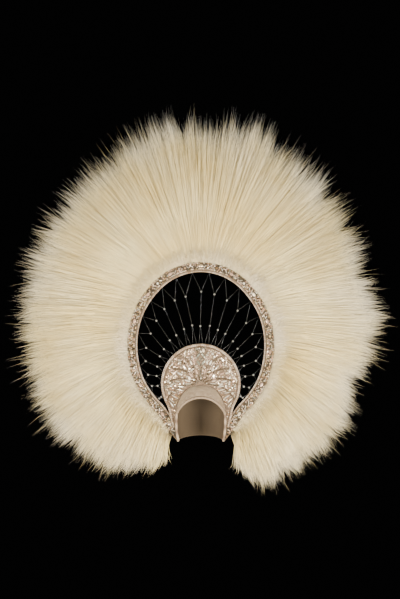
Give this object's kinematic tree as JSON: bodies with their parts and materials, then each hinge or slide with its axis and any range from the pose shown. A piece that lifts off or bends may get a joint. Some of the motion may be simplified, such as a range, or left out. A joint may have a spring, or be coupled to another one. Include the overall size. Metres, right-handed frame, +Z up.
{
  "type": "carnival feather headdress",
  "caption": "Satin cap with a jewelled crescent plaque on the brow, inside an upright beaded ring that carries a large radial fan of long cream feathers.",
  "frame": {"origin": "the crown of the wearer's head, on the inside of the cap", "axes": "+Z up, the front (the face opening) faces -Y, +X to the wearer's left"},
  "size_m": [1.2287, 0.1878, 1.2238],
  "materials": {
    "satin": "gathered blush satin",
    "padded_satin": "cream padded satin cord",
    "buckram": "stiff buckram under blush satin",
    "braid": "beige beaded braid",
    "jewels": "cut glass stones in silvered settings",
    "crystal_net": "crystal beads on silver thread",
    "feathers": "long cream hair-like feathers"
  },
  "bodies": {
    "root": {"cap_crown": "satin", "cap_sides": "satin", "brow_roll": "padded_satin", "plaque_board": "buckram", "plaque_piping": "padded_satin", "plaque_stones": "jewels", "halo_band": "braid", "halo_stones": "jewels", "halo_piping": "padded_satin", "bead_net": "crystal_net", "plume_01": "feathers", "plume_02": "feathers", "plume_03": "feathers", "plume_04": "feathers", "plume_05": "feathers", "plume_06": "feathers", "plume_07": "feathers", "plume_08": "feathers", "plume_09": "feathers", "plume_10": "feathers", "plume_11": "feathers", "plume_12": "feathers", "plume_13": "feathers", "plume_14": "feathers", "plume_15": "feathers", "plume_16": "feathers"}
  },
  "joints": []
}
